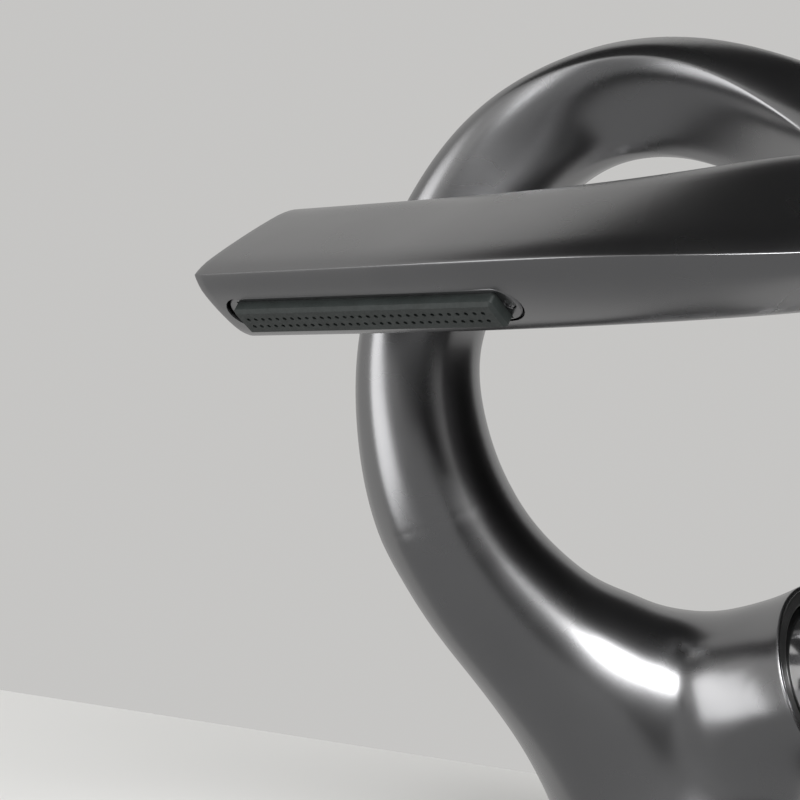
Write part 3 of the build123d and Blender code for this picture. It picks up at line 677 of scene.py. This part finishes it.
def body_skin():
    """The plated body: base, branch, stem and bar as one smooth surface, with its sockets cut."""
    rings, seam = spout_rings()
    seam_centre = Vector(STATIONS[SEAM_STATION][0])
    seam_ring = [Vector(p) for p in rings[seam]]
    quarter = len(seam_ring) // 4
    front, upper, back, lower = (seam_ring[k * quarter] for k in range(4))
    seam_way = (front - back).cross(upper - lower).normalized()
    cuts = [
        (seam_centre - seam_way * SEAM_GAP, seam_way),
        (DECK_UP * BASE_SEAM, -DECK_UP),
        (HANDLE_FOOT + HANDLE_AXIS * MOUTH_SEAM, HANDLE_AXIS),
    ]
    margin = 3 * VOXEL
    bm = remeshed_union(rings)
    for origin, outward in cuts:
        cut_away(bm, origin + outward * margin, outward)
    field = junction_field(rings)
    settle(bm, field, cuts)
    for origin, outward in cuts:
        cut_away(bm, origin, outward)
    edges = [rim_loop(bm, origin, outward) for origin, outward in cuts]
    tube = add_rings(bm, rings[seam:])
    foot = add_rings(bm, lathe(foot_profile(), (0, 0, 0), DECK_UP))
    mouth = add_rings(bm, lathe(mouth_profile(), HANDLE_FOOT, HANDLE_AXIS))
    for edge, ring, (origin, outward) in zip(edges, (tube, foot, mouth), cuts):
        zip_loops(bm, edge, turned_round(ring, origin, outward))
    bmesh.ops.remove_doubles(bm, verts=bm.verts, dist=WELD_GAP)
    bmesh.ops.holes_fill(bm, edges=[e for e in bm.edges if len(e.link_faces) == 1])
    bmesh.ops.recalc_face_normals(bm, faces=bm.faces)
    bmesh.ops.scale(bm, vec=Vector((1, 1, 1)) * MM, verts=bm.verts)
    mesh = bpy.data.meshes.new("body_skin")
    bm.to_mesh(mesh)
    bm.free()
    skin = bpy.data.objects.new("body_skin", mesh)
    bpy.context.scene.collection.objects.link(skin)
    cut_sockets(skin)
    skin.data.shade_smooth()
    return skin


# ---------------------------------------------------------------- materials

NOISE_LOW = 0.3
NOISE_HIGH = 0.7


def new_material(name, color, metallic, roughness):
    """A material, its node tree and its shader, with plain values set on the shader itself."""
    material = bpy.data.materials.new(name)
    material.use_nodes = True
    tree = material.node_tree
    shader = tree.nodes["Principled BSDF"]
    shader.inputs["Base Color"].default_value = (*color, 1)
    shader.inputs["Metallic"].default_value = metallic
    shader.inputs["Roughness"].default_value = roughness
    return material, tree, shader


def noise(tree, scale, detail=4.0):
    """Noise over the object's own coordinates."""
    place_node = tree.nodes.new("ShaderNodeTexCoord")
    texture = tree.nodes.new("ShaderNodeTexNoise")
    texture.inputs["Scale"].default_value = scale
    texture.inputs["Detail"].default_value = detail
    tree.links.new(place_node.outputs["Object"], texture.inputs["Vector"])
    return texture.outputs["Fac"]


def ranged(tree, value, low, high):
    """Maps a texture's middle range to a range of values."""
    node = tree.nodes.new("ShaderNodeMapRange")
    node.inputs["From Min"].default_value = NOISE_LOW
    node.inputs["From Max"].default_value = NOISE_HIGH
    node.inputs["To Min"].default_value = low
    node.inputs["To Max"].default_value = high
    tree.links.new(value, node.inputs["Value"])
    return node.outputs["Result"]


def bump(tree, shader, value, strength, distance):
    """Adds fine relief from a texture."""
    node = tree.nodes.new("ShaderNodeBump")
    node.inputs["Strength"].default_value = strength
    node.inputs["Distance"].default_value = distance
    tree.links.new(value, node.inputs["Height"])
    tree.links.new(node.outputs["Normal"], shader.inputs["Normal"])


def tinted(tree, shader, value, dark, light):
    """Mixes two colours by a texture into the shader's colour."""
    node = tree.nodes.new("ShaderNodeMix")
    node.data_type = "RGBA"
    node.inputs["A"].default_value = (*dark, 1)
    node.inputs["B"].default_value = (*light, 1)
    tree.links.new(value, node.inputs["Factor"])
    tree.links.new(node.outputs["Result"], shader.inputs["Base Color"])


def satin_metal(name, dark, light, smooth, rough):
    """Metal with faint clouding in tone and roughness, and a fine satin grain in relief."""
    material, tree, shader = new_material(name, light, 1.0, smooth)
    tinted(tree, shader, ranged(tree, noise(tree, 35, 3), 0, 1), dark, light)
    tree.links.new(ranged(tree, noise(tree, 60, 3), smooth, rough), shader.inputs["Roughness"])
    bump(tree, shader, noise(tree, 2500, 2), strength=0.01, distance=0.00001)
    return material


def rubber(name, dark, light):
    """Moulded rubber: matt, with a fine stipple."""
    material, tree, shader = new_material(name, light, 0.0, 0.55)
    tinted(tree, shader, ranged(tree, noise(tree, 300), 0, 1), dark, light)
    fine = noise(tree, 1800)
    tree.links.new(ranged(tree, fine, 0.42, 0.6), shader.inputs["Roughness"])
    bump(tree, shader, fine, strength=0.15, distance=0.00005)
    return material


def plastic(name, dark, light, smooth, rough):
    """Moulded plastic with a faint spark-eroded texture."""
    material, tree, shader = new_material(name, light, 0.0, smooth)
    tinted(tree, shader, ranged(tree, noise(tree, 150), 0, 1), dark, light)
    fine = noise(tree, 1500)
    tree.links.new(ranged(tree, fine, smooth, rough), shader.inputs["Roughness"])
    bump(tree, shader, fine, strength=0.1, distance=0.00003)
    return material


# Looks of the record's slots: dark and light tone, then least and most roughness, which rubbers share
METALS = {
    "gunmetal": ((0.25, 0.25, 0.255), (0.27, 0.27, 0.275), 0.25, 0.28),
    "polished_gunmetal": ((0.6, 0.6, 0.605), (0.64, 0.64, 0.645), 0.12, 0.15),
    "zinc_steel": ((0.50, 0.50, 0.47), (0.62, 0.62, 0.60), 0.3, 0.42),
    "stainless": ((0.52, 0.52, 0.52), (0.6, 0.6, 0.6), 0.22, 0.32),
    "brass": ((0.62, 0.45, 0.2), (0.75, 0.57, 0.28), 0.22, 0.32),
}
PLASTICS = {
    "black_plastic": ((0.008, 0.008, 0.008), (0.014, 0.014, 0.014), 0.3, 0.45),
    "cartridge_plastic": ((0.7, 0.7, 0.66), (0.8, 0.8, 0.77), 0.3, 0.45),
    "rotor_plastic": ((0.07, 0.08, 0.1), (0.1, 0.11, 0.14), 0.3, 0.45),
    "screen_plastic": ((0.4, 0.41, 0.41), (0.5, 0.51, 0.51), 0.3, 0.45),
    "alumina": ((0.82, 0.8, 0.75), (0.9, 0.88, 0.84), 0.2, 0.3),
}
RUBBERS = {
    "rubber": ((0.012, 0.012, 0.012), (0.022, 0.022, 0.022)),
    "nozzle_rubber": ((0.013, 0.017, 0.016), (0.02, 0.025, 0.024)),
}
SLOT_MATERIALS = {
    name: make(name, *look)
    for make, looks in ((satin_metal, METALS), (plastic, PLASTICS), (rubber, RUBBERS))
    for name, look in looks.items()
}


def dress(item, slot):
    """Gives a piece the material of one of the record's slots."""
    item.data.materials.clear()
    item.data.materials.append(SLOT_MATERIALS[slot])


for subpart in frame["record"]["subparts"]:
    node = frame["nodes"][subpart["node"]]
    dress(node, subpart["material_slot"])
    node.data.shade_smooth()
    node.data.set_sharp_from_angle(angle=PIECE_CREASE_ANGLE)
    edge = node.modifiers.new("edge", "BEVEL")
    edge.width = EDGE_WIDTH * MM
    edge.segments = 2
    edge.limit_method = "ANGLE"
    edge.angle_limit = EDGE_ANGLE
    edge.harden_normals = True

skin = body_skin()
skin.data.set_sharp_from_angle(angle=SKIN_CREASE_ANGLE)
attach(skin, "faucet_body")
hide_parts("body_casting")
dress(skin, "gunmetal")

# ---------------------------------------------------------------- stage, light and camera, in metres

DECK_REACH = 30.0
DECK_BACK = 0.08
VIEW_TURN = radians(40)
VIEW_DROP = radians(0.57)
CAMERA_PLACE = Vector((0.2531, -0.409, 0.119))
RIGHT = Vector((cos(VIEW_TURN), sin(VIEW_TURN), 0))
TO_CAMERA = Vector((sin(VIEW_TURN), -cos(VIEW_TURN), 0))
MIDDLE = Vector((0.01, -0.05, 0.11))


def facing_object(location):
    """Rotation that turns a light or a card at a place to face the object's middle."""
    return (MIDDLE - location).to_track_quat("-Z", "Y").to_euler()


def area_light(name, location, size, power):
    """A soft rectangular light that faces the object."""
    data = bpy.data.lights.new(name, "AREA")
    data.shape = "RECTANGLE"
    data.size, data.size_y = size
    data.energy = power
    lamp = bpy.data.objects.new(name, data)
    lamp.location = location
    lamp.rotation_euler = facing_object(location)
    bpy.context.scene.collection.objects.link(lamp)


def reflector(name, location, size, tone):
    """A card of an even tone that shows only in reflections."""
    bpy.ops.mesh.primitive_plane_add(size=1, location=location)
    card = bpy.context.object
    card.name = name
    card.scale = (*size, 1)
    card.rotation_euler = facing_object(location)
    material, _, shader = new_material(name, (0, 0, 0), 0.0, 1.0)
    shader.inputs["Specular IOR Level"].default_value = 0
    shader.inputs["Emission Color"].default_value = (tone, tone, tone, 1)
    shader.inputs["Emission Strength"].default_value = 1
    card.data.materials.append(material)
    card.visible_camera = False
    card.visible_shadow = False
    card.visible_diffuse = False


def backdrop():
    """A pale deck that ends behind the faucet. Reflections leave it out in favour of the cards."""
    mesh = bpy.data.meshes.new("deck")
    front_corners = [(-DECK_REACH, -DECK_REACH, 0), (DECK_REACH, -DECK_REACH, 0)]
    back_corners = [(DECK_REACH, DECK_BACK, 0), (-DECK_REACH, DECK_BACK, 0)]
    mesh.from_pydata(front_corners + back_corners, [], [(0, 1, 2, 3)])
    deck = bpy.data.objects.new("deck", mesh)
    bpy.context.scene.collection.objects.link(deck)
    material, _, _ = new_material("deck", (0.8, 0.8, 0.79), 0.0, 0.8)
    deck.data.materials.append(material)
    deck.visible_glossy = False


def world():
    """Even pale studio surroundings."""
    surroundings = bpy.data.worlds.new("studio")
    surroundings.use_nodes = True
    background = surroundings.node_tree.nodes["Background"]
    background.inputs["Color"].default_value = (0.565, 0.56, 0.55, 1)
    background.inputs["Strength"].default_value = 1.0
    bpy.context.scene.world = surroundings


def studio_place(right, near, up):
    """A place round the object, in metres to the camera's right, towards the camera, and up."""
    return MIDDLE + RIGHT * right + TO_CAMERA * near + DECK_UP * up


backdrop()
world()
camera_data = bpy.data.cameras.new("camera")
camera_data.lens = 90
camera_data.sensor_width = 36
camera = bpy.data.objects.new("camera", camera_data)
camera.location = CAMERA_PLACE
camera.rotation_euler = (pi / 2 - VIEW_DROP, 0, VIEW_TURN)
bpy.context.scene.collection.objects.link(camera)
bpy.context.scene.camera = camera
bpy.context.scene.view_settings.view_transform = "Standard"

reflector("dark_above", studio_place(0.5, -0.1, 1.5), (2.6, 3.0), 0.03)
reflector("dark_right", studio_place(1.7, 0.1, 0.7), (3.0, 2.4), 0.006)
reflector("dark_front", studio_place(0.2, 1.9, 0.1), (2.2, 1.3), 0.015)
reflector("dark_below", studio_place(0.75, 1.1, -0.45), (1.3, 1.0), 0.01)
reflector("grey_below", studio_place(-0.2, 0.6, -0.9), (3.5, 3.5), 0.33)
area_light("left", studio_place(-1.3, 0.7, -0.05), (0.8, 1.7), 11.0)
area_light("front_patch", studio_place(0.35, 1.35, 0.75), (1.3, 0.6), 30.0)
